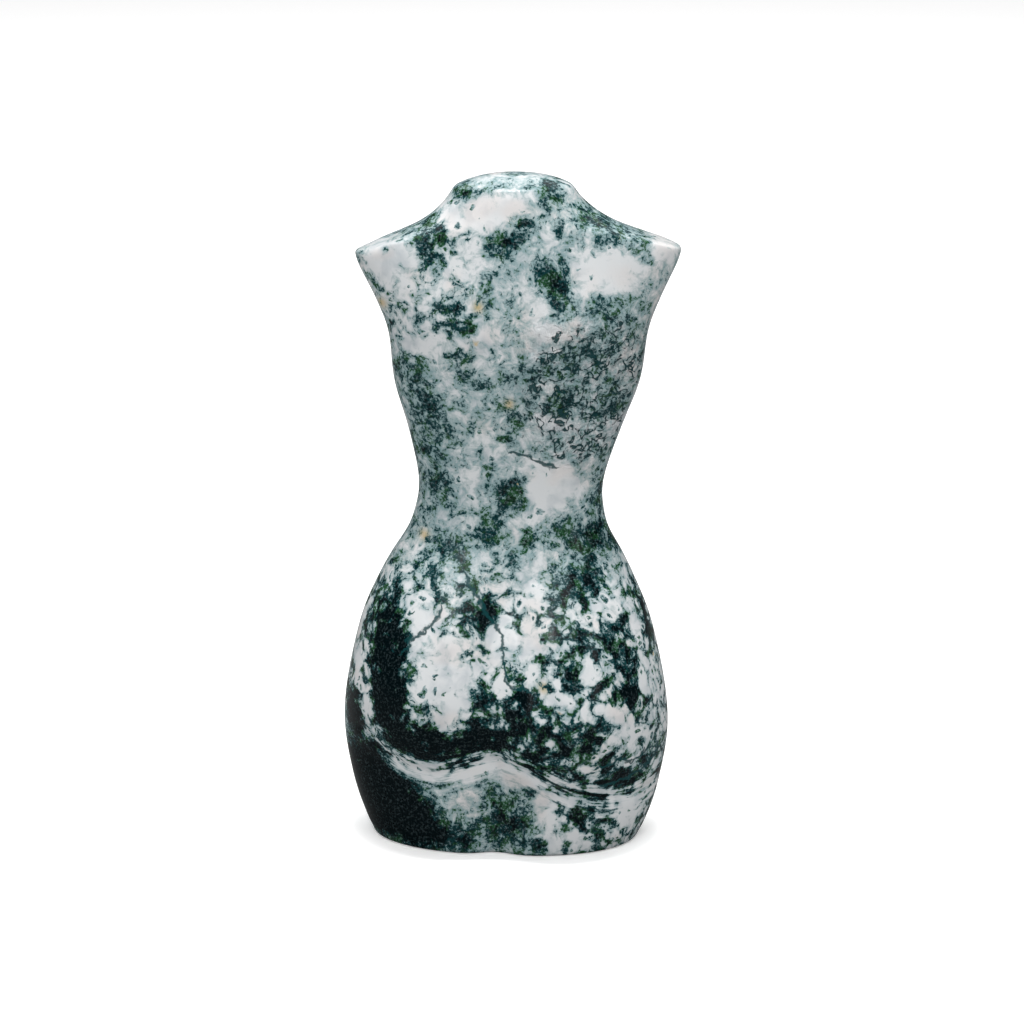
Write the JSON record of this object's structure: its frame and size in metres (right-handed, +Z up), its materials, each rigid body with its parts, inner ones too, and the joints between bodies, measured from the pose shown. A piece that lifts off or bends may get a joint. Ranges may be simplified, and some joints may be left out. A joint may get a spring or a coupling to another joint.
{
  "type": "female torso sculpture",
  "caption": "Small polished stone carving of a nude female torso without head or arms, cut flat at the thighs so it stands upright.",
  "frame": {"origin": "middle of the flat underside that the torso stands on", "axes": "+Z up to the neck, the figure faces -Y, its back is +Y and its own left side is +X"},
  "size_m": [0.0501, 0.0336, 0.1],
  "materials": {
    "stone": "polished, white with dark green moss-like inclusions"
  },
  "bodies": {
    "root": {"torso": "stone"}
  },
  "joints": []
}
